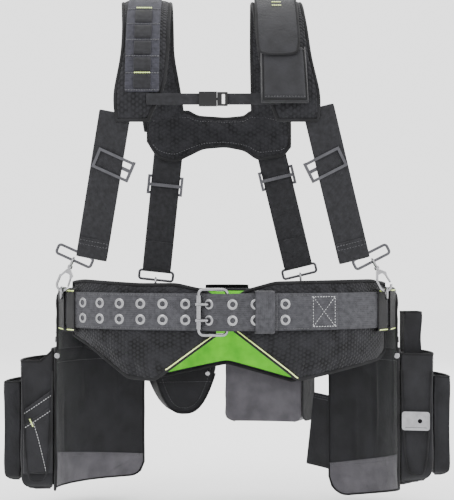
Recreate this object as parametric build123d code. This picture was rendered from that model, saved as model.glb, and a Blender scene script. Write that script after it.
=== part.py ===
from build123d import *
import os
from math import asin, cos, degrees, radians, sin, sqrt

os.makedirs("parts", exist_ok=True)

# Frame: origin at the centre of the waist opening, at the belt's mid height.
# X runs to the wearer's left, -Y is the front, +Z is up. All sizes in mm.

# Belt: 2 inch webbing bent to an oval waist
WAIST_A = 240.0
WAIST_B = 138.0
WEB = 3.0
BELT_HALF = 25.5
EYELET_BORE = 3.5
EYELET_RIM = 7.45
EYELET_ROW = 10.9
EYELET_PITCH = 32.0
EYELET_GAP = 0.3
RING_LENGTHS = 14
PAD_OUT = -4.0
PAD_IN = -16.0

# Roller buckle
BAR_OFFSET = 9.3
ROLLER_X = -38.4
BAR_R = 2.2
ROLLER_R = 3.75
TONGUE_R = 1.9
FIT = 0.06

# Shoulder arch, an upright half oval seen from the side
ARCH_Y = 3.0
ARCH_Z = 264.0
ARCH_A = 108.0
ARCH_B = 176.0
SHOULDER_PAD = 12.0

# Suspender straps and hooks
STRAP_WIDTH = 45.0
STRAP_THICK = 2.4
STRAP_TOP_GAP = 13.0
HOOK_R = 8.3
HOOK_WIRE = 1.8
BAR_ABOVE_HOOK = 38.5
RING_BELOW_HOOK = 3.8

# Pouches
POUCH_IN = 12.0
BAG_WALL = 2.5
POUCH_TOP = -57.0
CLIP_TURN = 79.0


def save(name, shape):
    shape.label = name
    export_step(shape, f"parts/{name}.step")


def oval_point(offset, turn, z=0.0):
    """Point on the oval at an offset outside the waist, turn in degrees from the front centre to +X."""
    return Vector((WAIST_A + offset) * sin(radians(turn)), -(WAIST_B + offset) * cos(radians(turn)), z)


def front_y(x, offset):
    """Y of the front of the belt at a given x."""
    return -WAIST_B * sqrt(1 - (x / WAIST_A) ** 2) - offset


def turn_at(x):
    return degrees(asin(x / WAIST_A))


def turn_after(length):
    """Turn reached after walking a length along the belt from the front centre."""
    step = 0.05
    turn = 0.0
    walked = 0.0
    while walked < abs(length):
        a = (WAIST_A + WEB / 2) * cos(radians(turn))
        b = (WAIST_B + WEB / 2) * sin(radians(turn))
        walked += sqrt(a * a + b * b) * radians(step)
        turn += step
    return turn if length > 0 else -turn


def oval_edge(offset, start, end):
    low, high = min(start, end), max(start, end)
    return EllipticalCenterArc((0, 0), WAIST_A + offset, WAIST_B + offset, (low - 90) % 360, arc_size=high - low)


def prism(edges, low, high):
    face = make_face(edges)
    return Pos(0, 0, low) * extrude(face, amount=high - low, dir=(0, 0, 1))


def band(inner, outer, start, end, low, high):
    """Wall that follows the waist oval."""
    near = edge_ends(inner, outer, start)
    far = edge_ends(inner, outer, end)
    return prism([oval_edge(inner, start, end), near, oval_edge(outer, start, end), far], low, high)


def edge_ends(inner, outer, turn):
    return Line(oval_point(inner, turn), oval_point(outer, turn))


def front_outline(points, near, far, corner=10.0):
    """Prism along Y from an outline seen from the front."""
    path = FilletPolyline(*[(x, near, z) for x, z in points], radius=corner, close=True)
    return extrude(make_face(path), amount=far - near, dir=(0, 1, 0))


def arch_section(radius_y, radius_z):
    """Half oval of the shoulder arch in the YZ plane, as a solid 800 wide."""
    oval = Plane.YZ * Ellipse(radius_y, radius_z)
    return Pos(-400, ARCH_Y, ARCH_Z) * extrude(oval, amount=800, dir=(1, 0, 0))


def arch_band(inner, outer):
    """Shell over the shoulder between two offsets (each a y and z pair) of the arch."""
    shell = arch_section(ARCH_A + outer[0], ARCH_B + outer[1]) - arch_section(ARCH_A + inner[0], ARCH_B + inner[1])
    return shell & Pos(0, ARCH_Y, ARCH_Z + 150) * Box(800, 400, 300)


def piece_box(x0, x1, y0, y1, z0, z1):
    return Pos((x0 + x1) / 2, (y0 + y1) / 2, (z0 + z1) / 2) * Box(x1 - x0, y1 - y0, z1 - z0)


def upright(x, y, radius, low, high):
    return Pos(x, y, (low + high) / 2) * Cylinder(radius, high - low)


def wire(points, wire_radius, bends, close=False):
    """Round wire along a bent path."""
    path = FilletPolyline(*points, radius=bends, close=close)
    start = Plane(origin=path @ 0, z_dir=path % 0)
    return sweep(start * Circle(wire_radius), path=path)


# ---------------------------------------------------------------- belt

def ribbon_outline(points, thickness):
    """Outer and inner edge points of webbing given its outer (x, offset) points."""
    outer = [Vector(x, front_y(x, o)) for x, o in points]
    inner = []
    for i, here in enumerate(outer):
        before = outer[max(i - 1, 0)]
        after = outer[min(i + 1, len(outer) - 1)]
        along = (after - before).normalized()
        inner.append(here + Vector(along.Y, -along.X) * thickness)
    return outer, inner


TAIL_PATH = [(70, 10.6), (60, 10.6), (46, 10.6), (32, 10.6), (0, 18.9), (-6, 18.1), (-17.5, 14.6), (-33.5, 6.9),
             (-36.5, 5.3), (-46, WEB), (-58, WEB)]
CHAPE_PATH = [(155, 6.2), (140, 6.2), (120, 6.2), (100, 6.2), (80, 6.2), (60, 6.2), (44, 6.2), (30, 6.2), (1, 14.05)]
TONGUE_EYELET_X = -25.2
TAIL_EYELETS = [(7.6, 16.93, -0.259), (39.3, 10.6, 0.0)]


def eyelet_at(point, outward, layers):
    rim = 0.8
    layers += 2 * EYELET_GAP
    frame = Plane(origin=point + outward * EYELET_GAP, z_dir=outward)
    barrel = Pos(0, 0, -layers / 2) * Cylinder(4.3, layers + 2 * rim)
    front = Pos(0, 0, rim / 2) * Cylinder(EYELET_RIM, rim)
    back = Pos(0, 0, -layers - rim / 2) * Cylinder(EYELET_RIM, rim)
    bore = Pos(0, 0, -layers / 2) * Cylinder(EYELET_BORE, layers + 10)
    return frame * (barrel + front + back - bore)


def eyelet_cut(point, outward, layers):
    return Plane(origin=point, z_dir=outward) * Pos(0, 0, -layers / 2) * Cylinder(4.3, layers + 3)


def eyelet_places():
    """Centre on the outer face, outward direction and webbing thickness of every eyelet."""
    places = []
    for column in range(6):
        turn = turn_after(-24.7 - EYELET_PITCH * (column + 1))
        normal = Vector(sin(radians(turn)) / WAIST_A, -cos(radians(turn)) / WAIST_B).normalized()
        places.append((oval_point(WEB, turn), normal, WEB))
    for x, offset, slope in [(TONGUE_EYELET_X, 10.9, 0.481)] + TAIL_EYELETS:
        tilt = (front_y(x + 1, 0) - front_y(x - 1, 0)) / 2
        normal = Vector(tilt - slope, -1).normalized()
        places.append((Vector(x, front_y(x, offset)), normal, WEB + 0.2))
    turn = turn_at(80)
    normal = Vector(sin(radians(turn)) / WAIST_A, -cos(radians(turn)) / WAIST_B).normalized()
    places.append((Vector(80, front_y(80, 6.2)), normal, 6.2))
    return places


EYELETS = eyelet_places()


def punch(shape):
    for point, normal, layers in EYELETS:
        for z in (-EYELET_ROW, EYELET_ROW):
            shape = shape - eyelet_cut(point + Vector(0, 0, z), normal, layers)
    return shape


def make_belt():
    """The belt is one strip, cut here into lengths that meet face to face, so that each one is nearly convex."""
    outer, inner = ribbon_outline(TAIL_PATH, WEB)
    strip = prism(Polyline(*outer, *reversed(inner), close=True), -BELT_HALF, BELT_HALF)
    first, last = turn_at(-58), turn_at(14) - 360
    lengths = []
    for k in range(RING_LENGTHS):
        start = first + (last - first) * k / RING_LENGTHS
        end = first + (last - first) * (k + 1) / RING_LENGTHS
        lengths.append(band(0, WEB, start, end, -BELT_HALF, BELT_HALF))
    strip = strip - lengths[0]
    save("waist_belt", Compound(children=[punch(length) for length in [strip] + lengths]))

    outer, inner = ribbon_outline(CHAPE_PATH, 2.4)
    fold = prism(Polyline(*outer, *reversed(inner), close=True), -BELT_HALF, BELT_HALF)
    bar_y = front_y(0, BAR_OFFSET)
    loop = upright(0, bar_y, 4.75, -BELT_HALF, BELT_HALF) - upright(0, bar_y, BAR_R + 0.15, -30, 30)
    loop = loop & piece_box(-10, 1.2, bar_y - 10, bar_y + 10, -40, 40)
    lower = prism(Polyline((1, bar_y + 2.4), (1, bar_y + 4.7), (13.5, front_y(14, 0.2)), (13.5, front_y(14, 2.8)),
                           close=True), -BELT_HALF, BELT_HALF)
    slots = [piece_box(-8, 7.5, bar_y - 12, bar_y + 12, z - 4.3, z + 4.3) for z in (-EYELET_ROW, EYELET_ROW)]
    chape = fold + loop + lower
    for slot in slots:
        chape = chape - slot
    save("belt_fold", punch(chape))

    eyelets = []
    for point, normal, layers in EYELETS:
        eyelets += [eyelet_at(point + Vector(0, 0, z), normal, layers) for z in (-EYELET_ROW, EYELET_ROW)]
    save("belt_eyelets", Compound(children=eyelets))


def make_buckle():
    bar_y = front_y(0, BAR_OFFSET)
    top = 31.0
    corners = [(0, bar_y, -top), (0, bar_y, top), (ROLLER_X, bar_y, top), (ROLLER_X, bar_y, -top)]
    save("buckle_frame", wire(corners, BAR_R, 6.0, close=True))
    roller = upright(ROLLER_X, bar_y, ROLLER_R, -23, 23) - upright(ROLLER_X, bar_y, BAR_R + FIT, -24, 24)
    save("buckle_roller", roller)
    for name, z in (("upper", EYELET_ROW), ("lower", -EYELET_ROW)):
        hub = upright(0, bar_y, 4.1, z - 3, z + 3)
        base = bar_y + BAR_OFFSET
        shank = wire([(-2.5, base - 8.3, z), (-21.9, base - 4.0, z), (-27.2, base - 15.1, z), (-43, base - 15.1, z)],
                     TONGUE_R, 2.6)
        tongue = hub + shank - upright(0, bar_y, BAR_R + FIT, z - 8, z + 8)
        save(f"buckle_tongue_{name}", tongue)
    slide = Plane(origin=(50.5, front_y(50.5, 0), 0), x_dir=(1, 0.124, 0), z_dir=(0, 0, 1))
    outer = slide * Pos(0, -5.75, 0) * Box(29, 18.7, 60)
    inner = slide * Pos(0, -5.3, 0) * Box(40, 14.6, 54)
    save("belt_keeper", outer - inner)


# ---------------------------------------------------------------- pads

LEFT_PAD = [(-30, 30), (-70, 39), (-123, 38.5), (-205, 43), (-222, 40), (-222, -36), (-196, -51), (-138, -94),
            (-101, -96.6), (-85, -85), (-16, -34)]
RIGHT_PAD = [(16, 22), (26, 30), (66, 41), (120, 42), (205, 43), (229, 38), (229, -63), (222, -72), (98, -97),
             (88, -88), (10, -26)]
BACK_PAD = [(-216, 24), (216, 24), (216, -64), (103, -120), (0, -92), (-98, -112), (-216, -60)]


def make_pads():
    for name, outline, start, end in (("left", LEFT_PAD, -76, 0), ("right", RIGHT_PAD, 0, 76)):
        wall = band(PAD_IN, PAD_OUT, start, end, -110, 60)
        save(f"front_pad_{name}", wall & front_outline(outline, -200, 0, 4.0))
    cut = front_outline(BACK_PAD, 0, 200, 8.0)
    save("back_pad", band(PAD_IN, PAD_OUT, 78, 282, -130, 60) & cut)
    save("pad_lining", band(PAD_IN - 1.2, PAD_IN - 0.1, 80, 280, -130, 60) & cut)


def make_carriers():
    """Webbing tunnels on the belt, rings, hip panels and rear hangers."""
    tunnels = []
    for start, end in ((-69, -62), (-87, -71), (61, 69), (71, 87), (172, 188)):
        loop = band(-3.8, 5.6, start, end, -32, 31) - band(-5.0, 3.3, start - 2, end + 2, -26.2, 26.2)
        tunnels.append(loop)
    save("belt_tunnels", Compound(children=tunnels))
    save("d_rings", Compound(children=[torus_at(ring) for ring in RINGS]))
    for name, side in (("left", -1), ("right", 1)):
        start, end = sorted((side * 86, side * 140))
        panel = band(7.0, 10.5, start, end, -52, 24)
        save(f"hip_panel_{name}", panel)
    hangers = [band(6.4, 9.0, 168, 182, -55, 22), band(6.4, 9.0, 190, 206, -55, 22)]
    save("rear_hangers", Compound(children=hangers))


# ---------------------------------------------------------------- suspenders

# Name, strap top, point where the hook hangs on its ring, hook direction, outward side
CORNERS = {
    "front_left": ((-133, -108, 262), (-236, -57, 32), (0.39, -0.12, 0.91), (0, -1, 0), 0.70),
    "front_right": ((105, -108, 268), (226, -73, 32), (-0.46, -0.14, 0.88), (0, -1, 0), 0.68),
    "rear_left": ((-93, 121, 218), (-114, 141, -4), (0.05, -0.06, 0.99), (0, 1, 0), 0.82),
    "rear_right": ((73, 121, 218), (118, 141, 3), (-0.07, -0.06, 0.99), (0, 1, 0), 0.88),
}


class Corner:
    """Frames of one suspender corner: the hook's frame and the strap's frame."""

    def __init__(self, top, ring, direction, facing, slide):
        self.ring = Vector(ring)
        self.hook = self.frame(self.ring, Vector(direction).normalized(), Vector(facing))
        self.bar = self.ring + self.hook.y_dir * (BAR_ABOVE_HOOK + RING_BELOW_HOOK)
        up = (Vector(top) - self.bar).normalized()
        self.strap = self.frame(self.bar, up, Vector(facing))
        self.length = (Vector(top) - self.bar).length
        self.slide = slide

    def frame(self, origin, up, facing):
        outward = (facing - up * facing.dot(up)).normalized()
        return Plane(origin=origin, x_dir=up.cross(outward), z_dir=outward)


FRAMES = {name: Corner(*values) for name, values in CORNERS.items()}
RINGS = [corner for corner in FRAMES.values()]


def torus_at(corner):
    """Steel ring whose top wire passes through the hook."""
    centre = corner.ring - Vector(0, 0, 8.0)
    across = Vector(corner.hook.x_dir.X, corner.hook.x_dir.Y, 0)
    return Plane(origin=centre, z_dir=across) * Torus(8.0, 1.7)


def make_strap(name, corner):
    low, high = 16.5, corner.length - STRAP_TOP_GAP
    strap = Pos(0, (low + high) / 2, 0) * Box(STRAP_WIDTH, high - low, STRAP_THICK)
    save(f"{name}_strap", corner.strap * strap)


def end_loop(corner):
    half = STRAP_WIDTH / 2 + 4
    loop = wire([(-half, 0, 0), (half, 0, 0), (half, 14, 0), (-half, 14, 0)], 2.0, 4.0, close=True)
    return corner.strap * loop


def hook_eye(corner):
    ring = Pos(0, 36, 0) * Rot(0, 90, 0) * Torus(6.2, 1.6)
    collar = Pos(0, 28.0, 0) * Rot(90, 0, 0) * Cylinder(3.6, 4.6)
    bore = Pos(0, 28.0, 0) * Rot(90, 0, 0) * Cylinder(1.7 + FIT, 9)
    return place_on_hook(corner, ring + collar - bore)


def place_on_hook(corner, shape):
    return corner.hook * Pos(0, RING_BELOW_HOOK, 0) * shape


def make_hook(name, corner):
    arc = CenterArc((0, 0, 0), HOOK_R, -15, -165)
    side = Line((-HOOK_R, 0, 0), (-HOOK_R, 13, 0))
    start = Plane(origin=arc @ 0, z_dir=arc % 0)
    bend = sweep(start * Circle(HOOK_WIRE), path=Wire([arc, side]))
    head = Pos(0, 0, -2.6) * extrude(make_face(Polyline((-10.0, 10), (-2.6, 24.6), (2.6, 24.6), (9.2, 17), (8.6, 13),
                                                        (2.5, 18), (-2.5, 18), (-6.6, 10), close=True)), amount=5.2)
    pin = Pos(0, 27.8, 0) * Rot(90, 0, 0) * Cylinder(1.7, 8.8)
    cap = Pos(0, 32.6, 0) * Rot(90, 0, 0) * Cylinder(2.2, 1.0)
    slot = Pos(6.7, 14.6, 0) * Box(6.4, 6.4, 3.4)
    pivot = Pos(6.7, 15.0, 0) * Cylinder(0.9, 5.2)
    hook = bend + head + pin + cap - slot + pivot
    save(f"{name}_hook", place_on_hook(corner, hook))
    low = Vector(8.05, 0.6, 0)
    high = Vector(6.7, 15.0, 0)
    bar = Plane(origin=(low + high) / 2, z_dir=high - low) * Cylinder(1.4, (high - low).length)
    eye = Pos(6.7, 15.0, 0) * Cylinder(2.2, 3.0)
    gate = bar + eye - Pos(6.7, 15.0, 0) * Cylinder(0.9 + FIT, 6)
    save(f"{name}_gate", place_on_hook(corner, gate))


def make_adjuster(name, corner):
    """Three-bar slider: end bars in front of the strap, the middle bar behind it."""
    at = corner.length * corner.slide
    half = STRAP_WIDTH / 2
    rails = [Pos(s * (half + 3.2), 0, 0) * Box(4, 30, 6.4) for s in (-1, 1)]
    ends = [Pos(0, s * 13, 2.45) * Box(2 * half + 8, 4, 1.5) for s in (-1, 1)]
    middle = Pos(0, 0, -2.45) * Box(2 * half + 8, 5, 1.5)
    slider = rails[0] + rails[1] + ends[0] + ends[1] + middle
    save(f"{name}_adjuster", corner.strap * Pos(0, at, 0) * slider)


LEFT_SHOULDER_FRONT = [(-154, 470), (-81, 470), (-80, 390), (-82, 351), (-87, 308), (-107, 268), (-153, 262),
                       (-159, 285), (-147, 390)]
LEFT_SHOULDER_REAR = [(-154, 470), (-81, 470), (-82, 380), (-66, 300), (-128, 296), (-148, 380)]
RIGHT_SHOULDER_FRONT = [(35, 470), (107, 470), (117, 347), (131, 293), (127, 266), (81, 262), (58, 290), (42, 371)]
RIGHT_SHOULDER_REAR = [(35, 470), (107, 470), (106, 370), (97, 296), (39, 300), (36, 370)]
YOKE = [(-121, 296), (-127, 264), (-110, 228), (-83, 219), (-60, 231), (-2, 245), (29, 239), (48, 223), (90, 232),
        (99, 257), (95, 296), (39, 299), (29, 293), (-2, 289), (-46, 292), (-66, 299)]


def make_shoulders():
    arch = arch_band((0, 0), (SHOULDER_PAD, SHOULDER_PAD))
    sides = (("left", LEFT_SHOULDER_FRONT, LEFT_SHOULDER_REAR), ("right", RIGHT_SHOULDER_FRONT, RIGHT_SHOULDER_REAR))
    yoke = front_outline(YOKE, 110, 122, 4.0)
    for name, front, rear in sides:
        front_half = arch & front_outline(front, -160, 0, 4.0)
        rear_half = arch & front_outline(rear, 0, 160, 4.0)
        pad = front_half + rear_half
        save(f"shoulder_pad_{name}", pad)
        yoke = yoke - pad
    save("yoke_pad", yoke)
    panel = arch_band((12.4, 12.4), (14.4, 14.4)) & piece_box(-142, -94, -200, -4, 304, 500)
    save("ladder_panel", panel)
    loops = []
    for low, high in ((308, 328), (332, 352), (356, 376), (380, 400), (404, 424)):
        loops.append(arch_band((14.8, 14.8), (17.4, 17.4)) & piece_box(-130, -106, -200, -4, low, high))
    save("tool_loops", Compound(children=loops))
    shell = arch_band((16.6, 16.6), (36, 12.2)) & front_outline([(46, 285), (114, 285), (110, 366), (44, 366)],
                                                             -200, 0, 3.0)
    hollow = arch_band((18.6, 18.6), (34, 10.2)) & piece_box(49, 109, -200, 0, 288, 400)
    save("phone_pocket", shell - hollow)
    flap = arch_band((37.5, 13.5), (40.0, 16.0)) & front_outline([(37, 470), (97, 470), (101, 352), (42, 352)],
                                                               -200, -6, 3.0)
    hinge = Pos(69, ARCH_Y - 9, ARCH_Z + ARCH_B + 14.6) * Rot(0, 90, 0) * Cylinder(1.3, 52)
    save("phone_flap", flap + hinge)


CHEST_Z = 294.0
CHEST_Y = -117.2


def make_chest():
    strap_half = 8.0
    y0, y1 = CHEST_Y - 0.8, CHEST_Y + 0.8
    save("chest_strap_left", piece_box(-112, -39, y0, y1, CHEST_Z - strap_half, CHEST_Z + strap_half))
    body = piece_box(-39, -14, CHEST_Y - 4.5, CHEST_Y + 4.5, CHEST_Z - 10, CHEST_Z + 10)
    cavity = piece_box(-36, 0, CHEST_Y - 2.6, CHEST_Y + 2.6, CHEST_Z - 7.6, CHEST_Z + 7.6)
    windows = piece_box(-33, -24, CHEST_Y - 2.6, CHEST_Y + 2.6, CHEST_Z - 12, CHEST_Z + 12)
    save("chest_socket", body - cavity - windows)
    base = piece_box(-13.7, 1, CHEST_Y - 3.8, CHEST_Y + 3.8, CHEST_Z - 9.5, CHEST_Z + 9.5)
    slot = piece_box(-7, -3, CHEST_Y - 6, CHEST_Y + 6, CHEST_Z - 7, CHEST_Z + 7)
    centre = piece_box(-34, -13, CHEST_Y - 1.8, CHEST_Y + 1.8, CHEST_Z - 1.6, CHEST_Z + 1.6)
    save("chest_plug", base + centre - slot)
    for name, side in (("upper", 1), ("lower", -1)):
        z = CHEST_Z + side * 5.4
        prong = piece_box(-32, -14.2, CHEST_Y - 1.8, CHEST_Y + 1.8, z - 1.2, z + 1.2)
        barb_z = sorted((z + side * 1.0, z + side * 2.0))
        barb = piece_box(-31.5, -25, CHEST_Y - 1.8, CHEST_Y + 1.8, *barb_z)
        save(f"chest_prong_{name}", prong + barb)
    save("chest_strap_right", piece_box(1.1, 74, y0, y1, CHEST_Z - strap_half, CHEST_Z + strap_half))


# ---------------------------------------------------------------- pouches

def bag(start, end, inner, outer, low, high):
    """Open-topped bag that follows the waist."""
    margin = 1.0
    shell = band(inner, outer, start, end, low, high)
    inside = band(inner + BAG_WALL, outer - BAG_WALL, start + margin, end - margin, low + BAG_WALL, high + 5)
    return shell - inside


def make_pouches():
    back = band(POUCH_IN, POUCH_IN + 3, -149, -79, -265, POUCH_TOP)
    save("left_pouch_back", back)
    save("left_pouch_bag", bag(-148, -80, 15.3, 62, -264, -76))
    save("left_outer_pocket", bag(-142, -86, 62.3, 86, -252, -108))
    slabs = [band(20, 60, -79.7, -78.2, -240, -112), band(24, 60, -77.9, -76.8, -235, -150)]
    save("left_end_pockets", Compound(children=slabs))

    floor = front_outline([(130, -40), (340, -40), (340, -248), (300, -252), (172, -294), (150, -284)], -100, 200, 4.0)
    save("right_pouch_back", band(POUCH_IN, POUCH_IN + 3, 79, 141, -300, POUCH_TOP) & floor)
    bottom = front_outline([(100, -40), (400, -40), (400, -244), (300, -251), (172, -291), (100, -291)], -100, 250, 4.0)
    outer = band(15.3, 62, 80, 140, -300, -66) & bottom
    inner_floor = Pos(0, 0, BAG_WALL) * bottom
    inner = band(15.3 + BAG_WALL, 62 - BAG_WALL, 81, 139, -300, -60) & inner_floor
    save("right_pouch_bag", outer - inner)
    save("right_outer_pocket", bag(86, 134, 62.3, 86, -245, -100))
    save("right_sleeve_pocket", bag(93, 101, 22, 48, -120, -6))
    across = (oval_point(60, CLIP_TURN) - oval_point(20, CLIP_TURN)).normalized()
    outward = across.cross(Vector(0, 0, 1))
    face = Plane(origin=oval_point(38, CLIP_TURN, -162), x_dir=across, z_dir=outward)
    plate = Pos(0, 0, -1.5) * extrude(RectangleRounded(40, 27, 4), amount=3)
    keyhole = Pos(6, 0, 0) * Cylinder(3.2, 10)
    lip = Pos(0, -11, 3) * Box(30, 3, 5)
    save("tape_clip", face * (plate + lip - keyhole))

    rivets = []
    for turn, z in ((-88, -46), (-136, -46), (88, -46), (136, -46), (176, -48), (200, -48)):
        offset = 9.0 if abs(turn) > 150 else 10.5
        spot = oval_point(offset, turn, z)
        normal = Vector(spot.X / WAIST_A ** 2, spot.Y / WAIST_B ** 2).normalized()
        rivets.append(Plane(origin=spot + normal * 0.8, z_dir=normal) * Cylinder(4.0, 1.2))
    save("pouch_rivets", Compound(children=rivets))

    round_outline = [(-115, -60), (-12, -60), (-12, -120), (-30, -160), (-64, -174), (-98, -160), (-115, -120)]
    bowl = band(9.6, 45, 183, 208, -180, -60)
    hollow = band(12.1, 42.5, 184, 207, -170, -50)
    inner_outline = [(x * 0.94 - 4, z + 4) for x, z in round_outline[2:]]
    inner_outline = [(-110, -40), (-17, -40)] + inner_outline
    save("rear_round_pouch", (bowl & front_outline(round_outline, 0, 250, 5.0))
         - (hollow & front_outline(inner_outline, 0, 250, 5.0)))
    save("rear_grey_pouch", bag(152, 181, 9.6, 55, -186, -60))


def main():
    make_belt()
    make_buckle()
    make_pads()
    make_carriers()
    save("strap_end_loops", Compound(children=[end_loop(corner) for corner in FRAMES.values()]))
    save("hook_eyes", Compound(children=[hook_eye(corner) for corner in FRAMES.values()]))
    for name, corner in FRAMES.items():
        make_strap(name, corner)
        make_hook(name, corner)
        make_adjuster(name, corner)
    make_shoulders()
    make_chest()
    make_pouches()


main()
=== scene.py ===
import bpy
from math import atan2, cos, pi, radians, sin, sqrt
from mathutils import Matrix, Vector, kdtree, noise


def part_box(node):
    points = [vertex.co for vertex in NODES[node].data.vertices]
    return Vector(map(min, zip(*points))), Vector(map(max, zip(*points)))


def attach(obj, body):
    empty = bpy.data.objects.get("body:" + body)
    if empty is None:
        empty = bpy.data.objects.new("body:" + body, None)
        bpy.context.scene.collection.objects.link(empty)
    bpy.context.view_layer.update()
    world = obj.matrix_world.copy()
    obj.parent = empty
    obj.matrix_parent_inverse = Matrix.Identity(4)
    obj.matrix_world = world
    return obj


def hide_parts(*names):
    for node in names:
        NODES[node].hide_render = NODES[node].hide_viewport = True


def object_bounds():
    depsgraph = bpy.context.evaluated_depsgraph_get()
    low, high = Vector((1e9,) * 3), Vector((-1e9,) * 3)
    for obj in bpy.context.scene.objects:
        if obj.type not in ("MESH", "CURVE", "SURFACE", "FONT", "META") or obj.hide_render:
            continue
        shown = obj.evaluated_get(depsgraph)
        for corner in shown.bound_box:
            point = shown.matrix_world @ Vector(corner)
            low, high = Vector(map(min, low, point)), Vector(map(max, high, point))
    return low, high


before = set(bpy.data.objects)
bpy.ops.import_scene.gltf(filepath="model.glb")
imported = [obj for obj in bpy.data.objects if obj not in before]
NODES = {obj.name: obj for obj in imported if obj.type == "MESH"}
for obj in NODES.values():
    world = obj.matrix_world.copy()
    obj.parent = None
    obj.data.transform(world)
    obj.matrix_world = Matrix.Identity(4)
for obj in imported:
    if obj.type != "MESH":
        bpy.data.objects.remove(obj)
cad_low, cad_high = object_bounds()
MM = 0.001
UP = Vector((0, 0, 1))

# The same driving sizes as the CAD model, in millimetres
WAIST_A = 240.0
WAIST_B = 138.0
BELT_HALF = 25.5
ARCH_Y = 3.0
ARCH_Z = 264.0
ARCH_A = 108.0
ARCH_B = 176.0
STRAP_WIDTH = 45.0
MEAN_RADIUS = 200

# Cloth simulation of the pads: mesh size, inner pressure, frames, and how far in from its rim a pad is held
PAD_VOXEL = 4.2
PAD_PRESSURE = 4.0
PAD_FRAMES = 20
PAD_HELD = 16

# Eyelet holes in the visible webbing, and the share that draws a row of thread in onto a pouch's cloth
HOLE_RADIUS = 3.9
HOLE_REACH = 9
DRAWN_IN = 0.9985


# ---------------------------------------------------------------- geometry helpers

def oval(offset, turn, z=0.0):
    """Point outside the waist oval, turn in degrees from the front centre towards +X."""
    return Vector(((WAIST_A + offset) * sin(radians(turn)), -(WAIST_B + offset) * cos(radians(turn)), z))


def front_y(x, offset):
    """Y on the front of the oval at a given x."""
    share = min(abs(x) / (WAIST_A + offset), 0.9999)
    return -(WAIST_B + offset) * sqrt(1 - share * share)


def arch(offset, angle, x=0.0):
    """Point on the shoulder arch: angle 0 is the front foot, 90 the top, 180 the rear foot."""
    y = ARCH_Y - (ARCH_A + offset) * cos(radians(angle))
    return Vector((x, y, ARCH_Z + (ARCH_B + offset) * sin(radians(angle))))


def mix(a, b, t):
    return a + (b - a) * t


def along(points, x):
    """Height at x on a line through (x, height) points."""
    if x <= points[0][0]:
        return points[0][1]
    for (x0, h0), (x1, h1) in zip(points, points[1:]):
        if x <= x1:
            return mix(h0, h1, (x - x0) / (x1 - x0))
    return points[-1][1]


def soft_along(points, x, spread):
    """The same line with its corners rounded over a spread."""
    return sum(along(points, x + spread * k / 3) for k in range(-3, 4)) / 7


def crown(t, power=4):
    return 1 - abs(2 * t - 1) ** power


def wobble(point, size, depth):
    """Smooth repeatable unevenness of cloth, in millimetres."""
    return noise.noise(Vector(point) / size) * depth


def placed(name, data):
    """A new object, linked into the scene."""
    made = bpy.data.objects.new(name, data)
    bpy.context.scene.collection.objects.link(made)
    return made


def soften(piece):
    modifier = piece.modifiers.new("smooth", "SUBSURF")
    modifier.levels = modifier.render_levels = 1


def bell(distance, spread):
    return 2.718 ** (-(distance / spread) ** 2)


def finish_mesh(name, verts, faces, uvs, material, body, stands_for=(), soft=False):
    """One visible piece that rides a body, from points in millimetres."""
    mesh = bpy.data.meshes.new(name)
    mesh.from_pydata([Vector(v) * MM for v in verts], [], faces)
    mesh.validate()
    if uvs:
        layer = mesh.uv_layers.new(name="UVMap")
        for loop in mesh.loops:
            layer.data[loop.index].uv = uvs[loop.vertex_index]
    mesh.materials.append(material)
    mesh.shade_smooth()
    piece = placed(name, mesh)
    if soft:
        soften(piece)
    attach(piece, body)
    if stands_for:
        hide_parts(*stands_for)
    return piece


def closed_grid(name, place, nu, nv, size, material, body, stands_for=()):
    """Closed cloth piece. place gives a point from u and v, 0 to 1, and the face: 1 outer, -1 inner."""
    verts, uvs, faces = [], [], []
    for sign in (1, -1):
        for i in range(nu + 1):
            for j in range(nv + 1):
                verts.append(place(i / nu, j / nv, sign))
                uvs.append((i / nu * size[0] / 10, j / nv * size[1] / 10))
    step = nv + 1
    back = (nu + 1) * step
    for i in range(nu):
        for j in range(nv):
            a = i * step + j
            faces.append((a, a + step, a + step + 1, a + 1))
            faces.append((back + a, back + a + 1, back + a + step + 1, back + a + step))
    rim = [i * step for i in range(nu)] + [nu * step + j for j in range(nv)]
    rim += [i * step + nv for i in range(nu, 0, -1)] + [j for j in range(nv, 0, -1)]
    for a, b in zip(rim, rim[1:] + rim[:1]):
        faces.append((b, a, back + a, back + b))
    return finish_mesh(name, verts, faces, uvs, material, body, stands_for, soft=True)


def outline(place, nu, nv):
    """Points right round a panel's edge, half way through its thickness."""
    rim = [place(k / nu, 1, 0) for k in range(nu + 1)]
    rim += [place(1, 1 - k / nv, 0) for k in range(1, nv + 1)]
    rim += [place(1 - k / nu, 0, 0) for k in range(1, nu + 1)]
    return rim + [place(0, k / nv, 0) for k in range(1, nv)]


def resample(points, step):
    """Even points along a smooth curve through a few hand-set points."""
    points = [Vector(p) for p in points]
    fine = []
    for i in range(len(points) - 1):
        p0 = points[max(i - 1, 0)]
        p1, p2 = points[i], points[i + 1]
        p3 = points[min(i + 2, len(points) - 1)]
        count = max(2, int((p2 - p1).length / step))
        for k in range(count):
            t = k / count
            a = 2 * p1
            b = (p2 - p0) * t
            c = (2 * p0 - 5 * p1 + 4 * p2 - p3) * t * t
            d = (3 * p1 - p0 - 3 * p2 + p3) * t ** 3
            fine.append((a + b + c + d) / 2)
    fine.append(points[-1])
    return fine


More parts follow.
